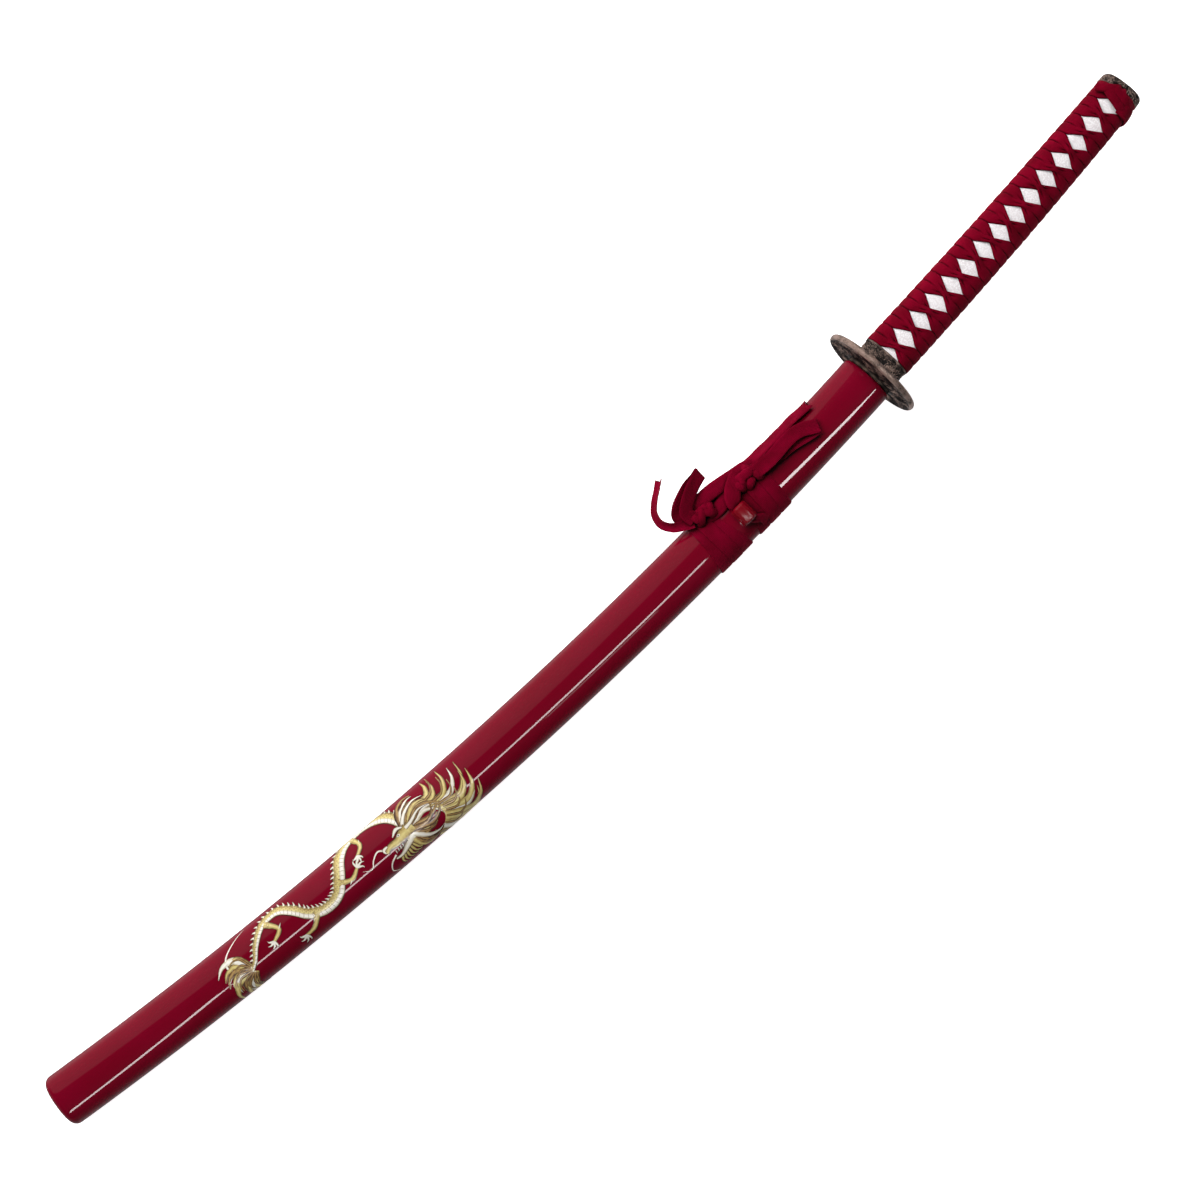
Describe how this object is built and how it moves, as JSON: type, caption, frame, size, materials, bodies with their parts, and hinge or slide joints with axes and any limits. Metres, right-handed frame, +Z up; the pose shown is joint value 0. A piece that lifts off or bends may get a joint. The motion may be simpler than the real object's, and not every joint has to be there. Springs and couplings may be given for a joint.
{
  "type": "sheathed curved sword",
  "caption": "Curved single-edged sword with a cord-wrapped handle and round guard, in a red lacquered scabbard with a tied flat cord.",
  "frame": {"origin": "on the surface that the sword lies on, under the middle of its box without the cord", "axes": "+X along the sword from the scabbard's tip towards the pommel, +Y from the cutting edge towards the spine, +Z up out of the front side, where the cord knob is"},
  "size_m": [1.0312, 0.0879, 0.0721],
  "materials": {
    "red_lacquer": "deep red high-gloss lacquer over wood, with a painted gold and cream dragon near the tip",
    "red_cord": "matte flat braided cord",
    "red_braid": "matte flat cotton braid",
    "white_ray_skin": "white grained ray skin",
    "dark_bronze": "aged dark bronze with worn copper edges and low relief",
    "spacer_brass": "brushed",
    "collar_copper": "filed and polished",
    "blade_steel": "polished flats with a pale wavy temper line",
    "core_wood": "plain",
    "bamboo": "smoked, smooth"
  },
  "bodies": {
    "scabbard": {"saya_front_half": "red_lacquer", "saya_back_half": "red_lacquer", "koiguchi_ring": "red_lacquer", "kojiri_cap": "red_lacquer", "kurikata": "red_lacquer", "sageo_upper_wrap": "red_cord", "sageo_lower_wrap": "red_cord", "sageo_bridge": "red_cord", "sageo_cross_strand": "red_cord", "sageo_spine_strand": "red_cord", "sageo_right_knot": "red_cord", "sageo_left_knot": "red_cord", "sageo_right_bow": "red_cord", "sageo_right_tail": "red_cord", "sageo_left_bow": "red_cord", "sageo_left_tail": "red_cord"},
    "sword": {"blade": "blade_steel", "habaki": "collar_copper", "seppa_front": "spacer_brass", "tsuba": "dark_bronze", "seppa_back": "spacer_brass", "fuchi": "dark_bronze", "tsuka_core_front": "core_wood", "tsuka_core_back": "core_wood", "ray_skin_front": "white_ray_skin", "ray_skin_back": "white_ray_skin", "tsuka_wrap": "red_braid", "wrap_end_knot": "red_braid", "kashira": "dark_bronze", "mekugi": "bamboo"}
  },
  "joints": [
    {"name": "draw", "type": "hinge", "parent": "scabbard", "child": "sword", "pos_m": [0.00225, 3.6448, 0.02855], "axis": [-0.0302, 0, 0.9995], "range_deg": [0, 11.6]}
  ]
}
